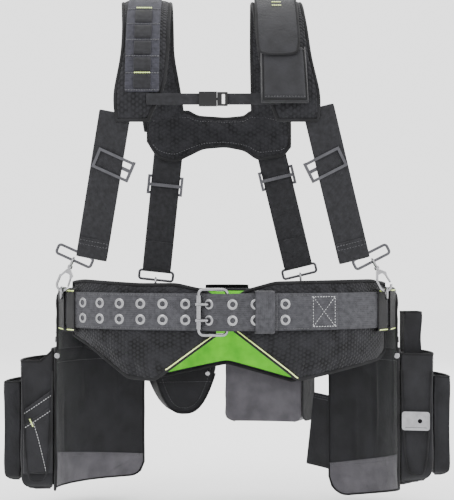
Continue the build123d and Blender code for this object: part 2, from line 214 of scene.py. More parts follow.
def ribbon(name, path, across, width, thick, material, body, stands_for=(), wave=0.0):
    """Woven webbing along a path. across is the direction of its width."""
    count = len(path) - 1
    side = Vector(across).normalized()
    length = sum((b - a).length for a, b in zip(path, path[1:]))

    def place(u, v, sign):
        i = round(u * count)
        heading = (path[min(i + 1, count)] - path[max(i - 1, 0)]).normalized()
        normal = heading.cross(side).normalized()
        edge = 0.45 + 0.55 * crown(v, 8)
        lift = sign * thick / 2 * edge + wobble(path[i] + side * v * 20, 45, wave)
        return path[i] + side * (v - 0.5) * width + normal * lift

    return closed_grid(name, place, count, 10, (length, width), material, body, stands_for)


def tube(name, path, radius, material, body, closed=False):
    """Round binding, piping or wire along a path."""
    curve = bpy.data.curves.new(name, "CURVE")
    curve.dimensions = "3D"
    spline = curve.splines.new("POLY")
    spline.points.add(len(path) - 1)
    for point, place in zip(spline.points, path):
        point.co = (*(Vector(place) * MM), 1)
    spline.use_cyclic_u = closed
    curve.bevel_depth = radius * MM
    curve.bevel_resolution = 3
    curve.use_fill_caps = True
    curve.materials.append(material)
    shape = placed(name + "_curve", curve)
    bpy.context.view_layer.update()
    mesh = bpy.data.meshes.new_from_object(shape)
    bpy.data.objects.remove(shape)
    mesh.shade_smooth()
    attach(placed(name, mesh), body)


def stitches(name, lines, material, body, length=2.6, gap=1.5, radius=0.42):
    """Rows of thread dashes, each a small six-sided capsule, in one mesh."""
    verts, faces = [], []
    for line in lines:
        path = [Vector(p) for p in line]
        distance, start = 0.0, 0.0
        for a, b in zip(path, path[1:]):
            span = (b - a).length
            if span < 1e-6:
                continue
            heading = (b - a) / span
            side = heading.cross(Vector((0.3, 0.5, 0.8))).normalized()
            up = heading.cross(side)
            while start < distance + span:
                here = a + heading * (start - distance)
                base = len(verts)
                for k, (t, r) in enumerate(((0, 0.35), (0.25, 1), (0.75, 1), (1, 0.35))):
                    for m in range(6):
                        turn = m * pi / 3
                        ring = side * cos(turn) + up * sin(turn)
                        verts.append(here + heading * t * length + ring * radius * r)
                for k in range(3):
                    for m in range(6):
                        n = (m + 1) % 6
                        p, q = base + k * 6, base + (k + 1) * 6
                        faces.append((p + m, p + n, q + n, q + m))
                faces.append(tuple(base + m for m in range(5, -1, -1)))
                faces.append(tuple(base + 18 + m for m in range(6)))
                start += length + gap
            distance += span
    finish_mesh(name, verts, faces, None, material, body)


def puff(piece, rim, cap):
    """Swells a pad by cloth simulation, by up to cap millimetres, and holds it at its bound rim."""
    scene = bpy.context.scene
    material = piece.data.materials[0]
    piece.modifiers.clear()
    remesh = piece.modifiers.new("remesh", "REMESH")
    remesh.mode = "VOXEL"
    remesh.voxel_size = PAD_VOXEL * MM
    piece.data = evaluated_mesh(piece)
    piece.data.materials.clear()
    piece.data.materials.append(material)
    piece.modifiers.clear()
    start = [v.co.copy() for v in piece.data.vertices]
    sewn = kdtree.KDTree(len(rim))
    for k, point in enumerate(rim):
        sewn.insert(point * MM, k)
    sewn.balance()
    cloth = piece.modifiers.new("cloth", "CLOTH")
    cloth.settings.use_pressure = True
    cloth.settings.uniform_pressure_force = PAD_PRESSURE
    cloth.settings.effector_weights.gravity = 0.0
    for frame_number in range(1, PAD_FRAMES + 1):
        scene.frame_set(frame_number)
    moved = evaluated_mesh(piece)
    piece.modifiers.clear()
    for vertex, before, after in zip(piece.data.vertices, start, moved.vertices):
        shift = after.co - before
        if shift.length > cap * MM:
            shift *= cap * MM / shift.length
        away = min(sewn.find(before)[2] / (PAD_HELD * MM), 1.0)
        vertex.co = before + shift * away * away
    scene.frame_set(1)
    piece.data.shade_smooth()
    soften(piece)


def evaluated_mesh(piece):
    bpy.context.view_layer.update()
    return bpy.data.meshes.new_from_object(piece.evaluated_get(bpy.context.evaluated_depsgraph_get()))


# ---------------------------------------------------------------- materials

def srgb(r, g, b):
    def linear(c):
        c /= 255
        return c / 12.92 if c < 0.04045 else ((c + 0.055) / 1.055) ** 2.4
    return (linear(r), linear(g), linear(b), 1)


class Paint:
    """A material under construction: a Principled shader and short calls for its nodes."""

    def __init__(self, name, roughness, metallic=0.0, sheen=0.0, specular=0.5, coat=0.0):
        self.material = bpy.data.materials.new(name)
        self.material.use_nodes = True
        self.tree = self.material.node_tree
        self.shader = self.tree.nodes["Principled BSDF"]
        self.shader.inputs["Roughness"].default_value = roughness
        self.shader.inputs["Metallic"].default_value = metallic
        self.shader.inputs["Sheen Weight"].default_value = sheen
        self.shader.inputs["Sheen Roughness"].default_value = 0.5
        self.shader.inputs["Specular IOR Level"].default_value = specular
        self.shader.inputs["Coat Weight"].default_value = coat

    def node(self, kind, links=None, **settings):
        made = self.tree.nodes.new(kind)
        for key, value in settings.items():
            setattr(made, key, value)
        for key, value in (links or {}).items():
            if isinstance(value, bpy.types.NodeSocket):
                self.tree.links.new(value, made.inputs[key])
            else:
                made.inputs[key].default_value = value
        return made

    def math(self, operation, a, b=0.0):
        return self.node("ShaderNodeMath", {0: a, 1: b}, operation=operation).outputs[0]

    def angle(self, first, first_mm, second, second_mm):
        """Angle round an oval, from two coordinates and the oval's half sizes along them."""
        first = self.math("DIVIDE", first, first_mm * MM)
        return self.math("ARCTAN2", first, self.math("DIVIDE", second, second_mm * MM))

    def coordinates(self, mode, scale):
        """Pattern coordinates in millimetres times a scale: uv, flat or round the waist or the shoulder."""
        if mode == "uv":
            where = self.node("ShaderNodeUVMap").outputs["UV"]
            return self.node("ShaderNodeMapping", {"Vector": where, "Scale": (10 * scale,) * 3}).outputs[0]
        where = self.node("ShaderNodeTexCoord").outputs["Object"]
        axes = self.node("ShaderNodeSeparateXYZ", {0: where}).outputs
        if mode == "waist":
            turn = self.angle(axes["X"], WAIST_A, axes["Y"], -WAIST_B)
            first = self.math("MULTIPLY", turn, MEAN_RADIUS * scale)
            second = self.math("MULTIPLY", axes["Z"], 1000 * scale)
        elif mode == "shoulder":
            height = self.math("SUBTRACT", axes["Z"], ARCH_Z * MM)
            turn = self.angle(height, ARCH_B, axes["Y"], ARCH_A)
            first = self.math("MULTIPLY", axes["X"], 1000 * scale)
            second = self.math("MULTIPLY", turn, 145 * scale)
        else:
            first = self.math("MULTIPLY", axes["X"], 1000 * scale)
            second = self.math("MULTIPLY", axes["Z"], 1000 * scale)
        return self.node("ShaderNodeCombineXYZ", {0: first, 1: second}).outputs[0]

    def colour_noise(self, low, high, size, contrast=(0.35, 0.65)):
        """Colour that drifts between two tones over the given size in millimetres."""
        where = self.node("ShaderNodeTexCoord").outputs["Object"]
        settings = {"Vector": where, "Scale": 1000 / size, "Detail": 4.0}
        cloud = self.node("ShaderNodeTexNoise", settings).outputs[0]
        ramp = self.node("ShaderNodeMapRange", {0: cloud, 1: contrast[0], 2: contrast[1]}).outputs[0]
        return self.node("ShaderNodeMix", {0: ramp, 6: low, 7: high}, data_type="RGBA").outputs[2]

    def tint(self, colour, factor, other):
        return self.node("ShaderNodeMix", {0: factor, 6: colour, 7: other}, data_type="RGBA").outputs[2]

    def weave(self, mode, pitch):
        """Height of a plain weave, 0 to 1."""
        where = self.coordinates(mode, 2 * pi / pitch)
        axes = self.node("ShaderNodeSeparateXYZ", {0: where}).outputs
        first = self.math("SINE", axes["X"])
        second = self.math("SINE", axes["Y"])
        product = self.math("MULTIPLY", first, second)
        return self.math("MULTIPLY_ADD", product, 0.5)

    def honeycomb(self, mode, pitch):
        """Height of a six-sided mesh, low in the holes."""
        where = self.coordinates(mode, 2 * pi / pitch)
        total = None
        for turn in (0, 60, 120):
            aim = (cos(radians(turn)), sin(radians(turn)), 0)
            dot = self.node("ShaderNodeVectorMath", {0: where, 1: aim}, operation="DOT_PRODUCT")
            wave = self.math("COSINE", dot.outputs["Value"])
            total = wave if total is None else self.math("ADD", total, wave)
        return self.node("ShaderNodeMapRange", {0: total, 1: -1.2, 2: 1.4}).outputs[0]

    def done(self, colour, height=None, depth_mm=0.3, roughness=None):
        if isinstance(colour, bpy.types.NodeSocket):
            self.tree.links.new(colour, self.shader.inputs["Base Color"])
        else:
            self.shader.inputs["Base Color"].default_value = colour
        if height is not None:
            settings = {"Height": height, "Distance": depth_mm * MM, "Strength": 1.0}
            bump = self.node("ShaderNodeBump", settings)
            self.tree.links.new(bump.outputs[0], self.shader.inputs["Normal"])
        if roughness is not None:
            self.tree.links.new(roughness, self.shader.inputs["Roughness"])
        return self.material


def webbing(name, dark, light, rib=2.4):
    """Ribbed webbing: ribs along its length, fine weft across, and a painted highlight that lightens the
    raised ribs, leaving painted shade in the grooves.
    """
    paint = Paint(name, 0.78, sheen=0.08, specular=0.18)
    where = paint.coordinates("uv", 2 * pi / rib)
    axes = paint.node("ShaderNodeSeparateXYZ", {0: where}).outputs
    ribs = paint.math("COSINE", axes["Y"])
    weft = paint.math("SINE", paint.math("MULTIPLY", axes["X"], 1.7))
    height = paint.math("MULTIPLY_ADD", ribs, 0.5)
    height = paint.math("ADD", height, paint.math("MULTIPLY", weft, 0.35))
    tone = paint.colour_noise(dark, light, 6, (0.3, 0.7))
    # Painted highlight: raised ribs are tinted towards the light tone, so the grooves between them stay
    # darker as painted shade.
    painted_rib_highlight = paint.node("ShaderNodeMapRange", {0: height, 1: 0.2, 2: 1.0, 4: 0.45}).outputs[0]
    tone = paint.tint(tone, painted_rib_highlight, light)
    return paint.done(tone, height, 0.35)


def cloth(name, dark, light, mode, pitch=1.1, roughness=0.75, sheen=0.3, depth=0.16, wrinkle=30):
    """Coated pouch cloth: fine plain weave over soft creases, with a painted highlight on the raised
    threads.
    """
    paint = Paint(name, roughness, sheen=sheen, specular=0.2)
    weave = paint.weave(mode, pitch)
    where = paint.node("ShaderNodeTexCoord").outputs["Object"]
    crease = paint.node("ShaderNodeTexNoise", {"Vector": where, "Scale": 1000 / wrinkle, "Detail": 6.0,
                                               "Distortion": 0.6}).outputs[0]
    height = paint.math("ADD", paint.math("MULTIPLY", weave, depth), paint.math("MULTIPLY", crease, 2.2))
    tone = paint.colour_noise(dark, light, wrinkle)
    # Painted highlight: the raised threads of the weave are tinted towards the light tone, leaving painted
    # shade between them.
    tone = paint.tint(tone, paint.math("MULTIPLY", weave, 0.25), light)
    return paint.done(tone, height, 1.0)


def mesh_cloth(name, mode, dark, light, pitch=5.2):
    paint = Paint(name, 0.85, sheen=0.08, specular=0.15)
    cells = paint.honeycomb(mode, pitch)
    fine = paint.weave(mode, 1.3)
    height = paint.math("ADD", cells, paint.math("MULTIPLY", fine, 0.15))
    # Painted shade and highlight: the cell walls are tinted towards the light tone and the holes are left
    # dark.
    tone = paint.tint(paint.colour_noise(dark, light, 18), paint.math("MULTIPLY", cells, 0.7), light)
    return paint.done(tone, height, 0.7)


def steel(name, colour, roughness, scratch=0.06):
    paint = Paint(name, roughness, metallic=1.0)
    where = paint.node("ShaderNodeTexCoord").outputs["Object"]
    cloud = paint.node("ShaderNodeTexNoise", {"Vector": where, "Scale": 260.0, "Detail": 8.0}).outputs[0]
    limits = {0: cloud, 3: roughness - scratch, 4: roughness + 2 * scratch}
    rough = paint.node("ShaderNodeMapRange", limits).outputs[0]
    # Painted reflection: the darker blotches in the tone stand in for dark surroundings that polished metal
    # would reflect.
    tone = paint.colour_noise(colour, tuple(c * 0.8 for c in colour[:3]) + (1,), 9)
    return paint.done(tone, cloud, 0.02, rough)


def plastic(name, colour, roughness):
    paint = Paint(name, roughness, specular=0.25)
    where = paint.node("ShaderNodeTexCoord").outputs["Object"]
    grain = paint.node("ShaderNodeTexNoise", {"Vector": where, "Scale": 1800.0, "Detail": 2.0}).outputs[0]
    tone = paint.colour_noise(colour, tuple(min(1, c * 1.6) for c in colour[:3]) + (1,), 14)
    return paint.done(tone, grain, 0.03)


def satin(name, dark, light):
    paint = Paint(name, 0.42, sheen=0.05, specular=0.22)
    weave = paint.weave("waist", 0.9)
    tone = paint.colour_noise(dark, light, 24, (0.3, 0.7))
    return paint.done(tone, weave, 0.06)


BELT_WEB = webbing("belt_webbing", srgb(40, 40, 43), srgb(64, 64, 68), 2.8)
STRAP_WEB = webbing("strap_webbing", srgb(19, 19, 21), srgb(36, 36, 39), 1.8)
# Painted shade: a darker copy of the strap webbing for the tunnels, which are the same webbing, to offset
# the sheen they catch side-on.
TUNNEL_WEB_PAINTED_SHADE = webbing("tunnel_webbing_painted_shade", srgb(9, 9, 10), srgb(22, 22, 24), 1.8)
LADDER_WEB = webbing("ladder_webbing", srgb(32, 32, 37), srgb(54, 54, 62), 2.0)
BINDING = cloth("edge_binding", srgb(12, 12, 13), srgb(26, 26, 28), "flat", 1.4, 0.8, 0.02)
WAIST_MESH = mesh_cloth("waist_mesh", "waist", srgb(12, 12, 13), srgb(33, 33, 36))
SHOULDER_MESH = mesh_cloth("shoulder_mesh", "shoulder", srgb(12, 12, 14), srgb(34, 34, 37))
YOKE_MESH = mesh_cloth("yoke_mesh", "flat", srgb(12, 12, 14), srgb(32, 32, 35), 6.0)
POUCH_CLOTH = cloth("pouch_cloth", srgb(19, 19, 21), srgb(29, 29, 32), "waist", sheen=0.08)
POCKET_CLOTH = cloth("pocket_cloth", srgb(25, 25, 27), srgb(35, 35, 38), "shoulder", 1.0,
                     sheen=0.08, wrinkle=22)
GREY_CLOTH = cloth("grey_cloth", srgb(60, 58, 63), srgb(80, 78, 83), "waist", 1.5, 0.5, 0.1, 0.3, 26)
GREEN_SATIN = satin("green_satin", srgb(56, 148, 0), srgb(88, 182, 0))
LIME_THREAD = cloth("lime_thread", srgb(196, 222, 110), srgb(232, 244, 170), "flat", 0.9, 0.6)
PALE_THREAD = cloth("pale_thread", srgb(150, 150, 152), srgb(196, 196, 198), "flat", 0.8, 0.6)
DARK_THREAD = cloth("dark_thread", srgb(44, 44, 47), srgb(68, 68, 72), "flat", 0.8, 0.6)
# Painted reflection: the nickel's base colour is darkened to stand in for the dark surroundings it would
# reflect.
NICKEL = steel("nickel_steel", (0.27, 0.27, 0.28, 1), 0.16)
GUNMETAL = steel("gunmetal_steel", (0.075, 0.075, 0.082, 1), 0.3)
BLACK_PLASTIC = plastic("black_plastic", srgb(12, 12, 13), 0.42)


def paint_cad(names, material):
    for name in names:
        for place in NODES[name].material_slots:
            place.material = material


# ---------------------------------------------------------------- belt

def cut_holes(piece):
    """Punches every eyelet's hole through the webbing, at the loose rings of the eyelet node."""
    source = NODES["belt_eyelets"].data
    cutters, faces = [], []
    for part in loose_parts(source):
        points = [source.vertices[i].co for i in part]
        centre = sum(points, Vector()) / len(points)
        outward = outward_at(centre)
        side = outward.cross(UP)
        base = len(cutters)
        for reach in (-HOLE_REACH, HOLE_REACH):
            for k in range(20):
                turn = k * pi / 10
                ring = side * cos(turn) * HOLE_RADIUS + Vector((0, 0, HOLE_RADIUS * sin(turn)))
                cutters.append(centre / MM + ring + outward * reach)
        faces.append(tuple(base + k for k in range(19, -1, -1)))
        faces.append(tuple(base + 20 + k for k in range(20)))
        for k in range(20):
            n = (k + 1) % 20
            faces.append((base + k, base + n, base + 20 + n, base + 20 + k))
    mesh = bpy.data.meshes.new("hole_cutters")
    mesh.from_pydata([v * MM for v in cutters], [], faces)
    cutter = placed("hole_cutters", mesh)
    piece.modifiers.clear()
    modifier = piece.modifiers.new("holes", "BOOLEAN")
    modifier.operation = "DIFFERENCE"
    modifier.object = cutter
    modifier.solver = "EXACT"
    piece.data = evaluated_mesh(piece)
    piece.modifiers.clear()
    bpy.data.objects.remove(cutter)
    bpy.data.meshes.remove(mesh)


def loose_parts(mesh):
    """Groups of vertex indices, one for each loose ring. Doubled vertices at one place count as one."""
    place = {}
    parent = list(range(len(mesh.vertices)))

    def root(i):
        while parent[i] != i:
            parent[i] = parent[parent[i]]
            i = parent[i]
        return i

    for vertex in mesh.vertices:
        key = tuple(round(c, 5) for c in vertex.co)
        if key in place:
            parent[root(vertex.index)] = root(place[key])
        else:
            place[key] = vertex.index
    for edge in mesh.edges:
        parent[root(edge.vertices[0])] = root(edge.vertices[1])
    groups = {}
    for vertex in mesh.vertices:
        groups.setdefault(root(vertex.index), []).append(vertex.index)
    return list(groups.values())


TAIL = [(69, 9.1), (60, 9.1), (46, 9.1), (32, 9.1), (16, 13.3), (3, 16.7), (-6, 16.2), (-17.5, 12.9),
        (-33.5, 5.4), (-37.5, 3.5), (-46, 1.5), (-58, 1.5)]
FOLD = [(154, 5), (120, 5), (80, 5), (60, 5), (44, 5), (30, 5), (15, 8.9), (2, 12.6)]


def belt():
    tail = [on_belt(x, 0, o) for x, o in TAIL]
    ring = [oval(1.5, mix(-14.5, -356, k / 150)) for k in range(1, 151)]
    path = resample(tail, 3.0) + ring
    piece = ribbon("waist_belt_webbing", path, UP, 2 * BELT_HALF, 3.0, BELT_WEB, "harness", ("waist_belt",))
    cut_holes(piece)
    fold = resample([on_belt(x, 0, o) for x, o in FOLD], 3.0)
    piece = ribbon("belt_fold_webbing", fold, UP, 2 * BELT_HALF, 2.4, BELT_WEB, "harness", ("belt_fold",))
    cut_holes(piece)
    eyelets()
    belt_stitching()
    keeper()


def eyelets():
    """Pressed metal eyelets: a rolled rim on each face, joined by the barrel, one for each CAD eyelet."""
    source = NODES["belt_eyelets"].data
    owner = {}
    groups = loose_parts(source)
    for index, group in enumerate(groups):
        for vertex in group:
            owner[vertex] = index
    axes = [Vector() for _ in groups]
    for face in source.polygons:
        index = owner[face.vertices[0]]
        if face.normal.dot(outward_at(face.center)) > 0.85:
            axes[index] += face.normal * face.area
    verts, faces = [], []
    profile = [(3.6, 0), (3.6, 0.3), (3.9, 0.75), (4.6, 1.05), (5.5, 1.0), (6.5, 0.6), (7.3, 0.1),
               (7.45, -0.4)]
    for group, axis in zip(groups, axes):
        points = [source.vertices[i].co / MM for i in group]
        axis = axis.normalized()
        centre = sum(points, Vector()) / len(points)
        reach = [(p - centre).dot(axis) for p in points]
        side = axis.cross(UP).normalized()
        up = side.cross(axis)
        rings = [(r, min(reach) - h * 0.6 + 0.55) for r, h in reversed(profile)]
        rings += [(r, max(reach) + h * 0.7 - 0.7) for r, h in profile]
        base = len(verts)
        for radius, rise in rings:
            for k in range(28):
                turn = k * pi / 14
                verts.append(centre + (side * cos(turn) + up * sin(turn)) * radius + axis * rise)
        for r in range(len(rings)):
            for k in range(28):
                n = (k + 1) % 28
                a, b = base + r * 28, base + (r + 1) % len(rings) * 28
                faces.append((a + k, b + k, b + n, a + n))
    finish_mesh("belt_eyelet_rims", verts, faces, None, NICKEL, "harness", ("belt_eyelets",))


def outward_at(point):
    return Vector((point.x / WAIST_A ** 2, point.y / WAIST_B ** 2, 0)).normalized()


def on_belt(x, z, offset):
    return Vector((x, front_y(x, 0) - offset, z))


def belt_stitching():
    """The stitched box and cross that holds the fold, and edge rows."""
    left, right, half = 119, 150, 20.5
    corners = [(left, -half), (right, -half), (right, half), (left, half), (left, -half)]
    lines = []
    for (x0, z0), (x1, z1) in list(zip(corners, corners[1:])) + [((left, -half), (right, half)),
                                                                 ((left, half), (right, -half))]:
        lines.append([on_belt(mix(x0, x1, k / 8), mix(z0, z1, k / 8), 6.4) for k in range(9)])
    stitches("belt_box_stitches", lines, PALE_THREAD, "harness")
    edge = [[on_belt(x, z, 1.5 + 1.6) for x in range(-215, -60, 5)] for z in (-23, 23)]
    edge += [[on_belt(x, z, 6.35) for x in range(74, 112, 4)] for z in (-23, 23)]
    stitches("belt_edge_stitches", edge, DARK_THREAD, "harness")


def keeper():
    """Webbing loop that holds the belt's tail."""
    low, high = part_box("belt_keeper")
    width = (high.x - low.x) / MM - 4.0
    top = high.z / MM - 1.3
    middle = Vector((50.5, front_y(50.5, 0), 0))
    flow = Vector((1, 0.124, 0)).normalized()
    out = Vector((0.124, -1, 0)).normalized()
    path = []
    for k in range(49):
        turn = pi + 2 * pi * k / 48
        across = 5.75 + 8.3 * (abs(cos(turn)) ** 0.3) * (1 if cos(turn) > 0 else -1)
        rise = top * (abs(sin(turn)) ** 0.35) * (1 if sin(turn) > 0 else -1)
        path.append(middle + out * across + Vector((0, 0, rise)))
    ribbon("belt_keeper_webbing", path, flow, width, 1.7, BELT_WEB, "keeper", ("belt_keeper",))


# ---------------------------------------------------------------- waist pads

LEFT_TOP = [(-222, 40), (-205, 43), (-123, 38.5), (-70, 39), (-30, 30), (-16, 20)]
LEFT_LOW = [(-222, -38), (-196, -51), (-138, -94), (-101, -96.6), (-85, -85), (-16, -34)]
RIGHT_TOP = [(10, 18), (26, 30), (66, 41), (120, 42), (205, 43), (229, 38)]
RIGHT_LOW = [(10, -27), (88, -88), (98, -97), (222, -72), (229, -60)]
BACK_LOW = [(-216, -60), (-98, -112), (0, -92), (103, -120), (216, -64)]


def waist_pad(name, top, low, creases, front=True):
    """Padded mesh panel that follows the waist, thick in the middle and thin at its bound edge."""
    x0, x1 = top[0][0] + 1.5, top[-1][0] - 1.5

    def place(u, v, sign):
        x = mix(x0, x1, u)
        z = mix(soft_along(low, x, 5) + 2, soft_along(top, x, 6) - 2, v)
        swell = 2.3 + 3.0 * crown(v, 4) * crown(u, 10)
        fold = sum(1.6 * bell(x - c, 3.5) for c in creases)
        offset = -10 + sign * swell + (wobble((x, z, 7), 28, 1.4) - fold if sign > 0 else 0)
        share = min(abs(x) / (WAIST_A + offset), 0.985)
        y = (WAIST_B + offset) * sqrt(1 - share * share)
        return Vector((x, -y if front else y, z))

    piece = closed_grid(name + "_padding", place, 60, 26, (x1 - x0, 130), WAIST_MESH, "harness", (name,))
    rim = outline(place, 60, 12)
    tube(name + "_binding", rim, 2.8, BINDING, "harness", closed=True)
    puff(piece, rim, 3.0 if front else 0.6)


def lining():
    """Bright satin lining on the wearer's side of the back pad, gathered in soft folds."""
    def place(u, v, sign):
        x = mix(-212, 212, u)
        z = mix(soft_along(BACK_LOW, x, 8) + 6, 22, v)
        fold = 0.9 * sin(x / 6.5 + wobble((x, 0, 0), 30, 3)) * (0.4 + 0.6 * v) + wobble((x, 0, z), 22, 1.2)
        offset = -16.9 - sign * 0.3 - abs(fold)
        share = min(abs(x) / (WAIST_A + offset), 0.975)
        return Vector((x, (WAIST_B + offset) * sqrt(1 - share * share), z))

    closed_grid("pad_lining_satin", place, 120, 14, (430, 120), GREEN_SATIN, "harness", ("pad_lining",))


def pads():
    waist_pad("front_pad_left", LEFT_TOP, LEFT_LOW, (-165, -128))
    waist_pad("front_pad_right", RIGHT_TOP, RIGHT_LOW, (108, 150, 166))
    for name, points in (("left", LEFT_LOW[-2:]), ("right", RIGHT_LOW[:3])):
        line = []
        for k in range(31):
            x = mix(points[0][0], points[-1][0], k / 30)
            line.append(Vector((x, front_y(x, 0) + 7.6, soft_along(points, x, 3) + 4)))
        tube(f"front_pad_{name}_piping", line, 0.9, LIME_THREAD, "harness")
    waist_pad("back_pad", [(-216, 24), (216, 24)], BACK_LOW, (), front=False)
    lining()


# ---------------------------------------------------------------- webbing tunnels, hip panels

def tunnels():
    """Webbing tunnels that carry the pouches, with a bar tack at each end."""
    tacks = []
    for name, start, end in (("left_front", -69, -62), ("left_side", -87, -71), ("right_front", 61, 69),
                             ("right_side", 71, 87), ("rear", 172, 188)):
        middle = (start + end) / 2
        width = (oval(5, start) - oval(5, end)).length
        flow = (oval(5, end) - oval(5, start)).normalized()
        rows = [(-3.0, -31), (2.0, -31.2), (4.9, -28)] + [(4.9, z) for z in range(-24, 25, 4)]
        rows += [(4.9, 27), (2.0, 30.4), (-3.0, 30.2)]
        path = resample([oval(o, middle, z) for o, z in rows], 2.5)
        pieces = () if name != "left_front" else ("belt_tunnels",)
        ribbon(f"tunnel_{name}", path, flow, width, 1.8, TUNNEL_WEB_PAINTED_SHADE, "harness", pieces)
        for z in (27.0, -28.5):
            tacks.append([oval(6.3, mix(start, end, t), z) for t in (0.1, 0.5, 0.9)])
    stitches("tunnel_tacks", tacks, LIME_THREAD, "harness", 2.4, 0.2, 0.9)


def hip_panels():
    for name, side in (("left", -1), ("right", 1)):
        def place(u, v, sign, side=side):
            turn = side * mix(85, 141, u)
            drop = 16 * (abs(2 * u - 1) ** 5)
            z = mix(-62, 24 - drop, v)
            thick = 0.9 + 1.1 * crown(u, 8) * crown(v, 8)
            return oval(8.7 + sign * thick + wobble((turn, z, side), 14, 0.8), turn, z)

        closed_grid(f"hip_panel_{name}_cloth", place, 36, 16,
                    (130, 76), POUCH_CLOTH, "harness", (f"hip_panel_{name}",))
        rim = [place(k / 40, 1, 0) for k in range(41)] + [place(1, 1 - k / 12, 0) for k in range(1, 13)]
        rim = [place(0, k / 12, 0) for k in range(12)] + rim
        tube(f"hip_panel_{name}_binding", rim, 1.9, BINDING, "harness")
        rows = [[oval(11.2, side * mix(88, 138, k / 20), z) for k in range(21)] for z in (-44, -36)]
        stitches(f"hip_panel_{name}_stitches", rows, PALE_THREAD, "harness")
    for index, (start, end) in enumerate(((168, 182), (190, 206))):
        def face(u, v, sign, start=start, end=end):
            return oval(7.7 + sign * 1.2, mix(start, end, u), mix(-55, 22, v))

        stands = ("rear_hangers",) if index == 0 else ()
        closed_grid(f"rear_hanger_{index + 1}", face, 14, 12,
                    (60, 77), POUCH_CLOTH, "harness", stands)


# ---------------------------------------------------------------- suspenders

def strap_axis(name):
    """Top and bottom middle of a strap, its width direction and its outward side, from its CAD solid."""
    mesh = NODES[name].data
    points = [v.co / MM for v in mesh.vertices]
    centre = sum(points, Vector()) / len(points)
    outward = max(mesh.polygons, key=lambda f: f.area).normal.copy()
    if (outward.y > 0) != name.startswith("rear"):
        outward = -outward
    edges = [(points[e.vertices[0]] - points[e.vertices[1]]) for e in mesh.edges]
    spans = [e for e in edges if abs(e.normalized().dot(outward)) < 0.05 and e.length > 60]
    upright = max(spans, key=lambda e: abs(e.normalized().z)).normalized()
    if upright.z < 0:
        upright = -upright
    across = upright.cross(outward).normalized()
    reach = [(p - centre).dot(upright) for p in points]
    return centre + upright * max(reach), centre + upright * min(reach), across, outward


# Rise from the strap's foot and distance outwards, from the end behind, round the wire loop, to the front
TURNED_END = [(44, -2.6), (20, -2.4), (4, -2.2), (-2.6, -0.9), (-3.0, 0.3), (-1.2, 1.9), (5, 2.3), (26, 2.0)]


def suspender(name):
    """Strap with its doubled lower run, folded round the wire loop, under the slider."""
    top, bottom, across, outward = strap_axis(f"{name}_strap")
    up = (top - bottom).normalized()
    length = (top - bottom).length
    tuck = 34.0 if name.startswith("rear") else 18.0
    path = [bottom + up * (k * (length + tuck) / 60) for k in range(61)]
    body = "harness"
    ribbon(f"{name}_webbing", path, across, STRAP_WIDTH, 1.8, STRAP_WEB, body, (f"{name}_strap",), wave=0.5)
    fold = [bottom + up * rise + outward * out for rise, out in TURNED_END]
    ribbon(f"{name}_turned_end", resample(fold, 2.0), across, STRAP_WIDTH - 0.6, 1.5, STRAP_WEB, body)
    half = STRAP_WIDTH / 2 - 3
    lines = []
    for rise in (16.0, 22.0):
        base = bottom + up * rise + outward * 3.1
        lines.append([base + across * s for s in (-half, 0, half)])
    for s in (-half, half):
        lines.append([bottom + up * rise + outward * 3.1 + across * s for rise in (16, 19, 22)])
    stitches(f"{name}_end_stitches", lines, DARK_THREAD, body)


def height_angle(z):
    """Angle on the front of the arch's outer face at a height."""
    share = max(-1.0, min(1.0, (z - ARCH_Z) / (ARCH_B + 12)))
    return atan2(share, sqrt(max(0.0, 1 - share * share))) * 180 / pi


SHOULDERS = {
    "left": ([(0, -153), (9, -159), (30, -148), (45, -147), (90, -154), (135, -148), (180, -127)],
             [(0, -112), (4, -104), (14, -87), (30, -82), (90, -81), (140, -82), (168, -68), (180, -64)]),
    "right": ([(0, 74), (6, 60), (14, 54), (32, 44), (60, 38), (90, 35), (140, 36), (180, 39)],
              [(0, 126), (9, 131), (30, 117), (60, 110), (90, 107), (140, 106), (180, 96)]),
}


def shoulder_pad(side):
    left_line, right_line = SHOULDERS[side]

    def place(u, v, sign):
        angle = mix(0.5, 178, v)
        x = mix(soft_along(left_line, angle, 6) + 1.5, soft_along(right_line, angle, 6) - 1.5, u)
        swell = 2.3 + 3.0 * crown(u, 4) * crown(v, 12)
        return arch(6 + sign * swell + (wobble((x, angle, 3), 24, 0.9) if sign > 0 else 0), angle, x)

    name = f"shoulder_pad_{side}"
    piece = closed_grid(name + "_padding", place, 18, 90,
                        (75, 430), SHOULDER_MESH, "harness", (name,))
    rim = outline(lambda u, v, sign: place(1 - v, u, sign), 80, 10)
    tube(name + "_binding", rim, 2.8, BINDING, "harness", closed=True)
    puff(piece, rim, 1.2)


YOKE_TOP = [(-124, 288), (-110, 296), (-68, 306), (-46, 293), (-2, 290), (29, 293), (41, 306), (92, 292),
            (99, 280)]
YOKE_LOW = [(-124, 258), (-110, 230), (-83, 220), (-60, 231), (-38, 242), (-2, 245), (29, 239), (48, 224),
            (90, 231), (99, 250)]


def yoke():
    def place(u, v, sign):
        x = mix(-122, 97, u)
        z = mix(soft_along(YOKE_LOW, x, 7) + 2, min(soft_along(YOKE_TOP, x, 6), 301) - 2, v)
        swell = 2.3 + 2.8 * crown(u, 8) * crown(v, 4)
        lift = wobble((x, 5, z), 26, 1.4) if sign > 0 else 0
        return Vector((x, 116 - sign * swell - lift, z))

    piece = closed_grid("yoke_pad_padding", place, 50, 18,
                        (220, 70), YOKE_MESH, "harness", ("yoke_pad",))
    rim = outline(place, 60, 8)
    tube("yoke_pad_binding", rim, 2.8, BINDING, "harness", closed=True)
    puff(piece, rim, 2.5)
    rows = [[place(k / 60, v, 1) + Vector((0, -0.4, 0)) for k in range(2, 59)] for v in (0.13, 0.87)]
    stitches("yoke_pad_stitches", rows, DARK_THREAD, "harness")


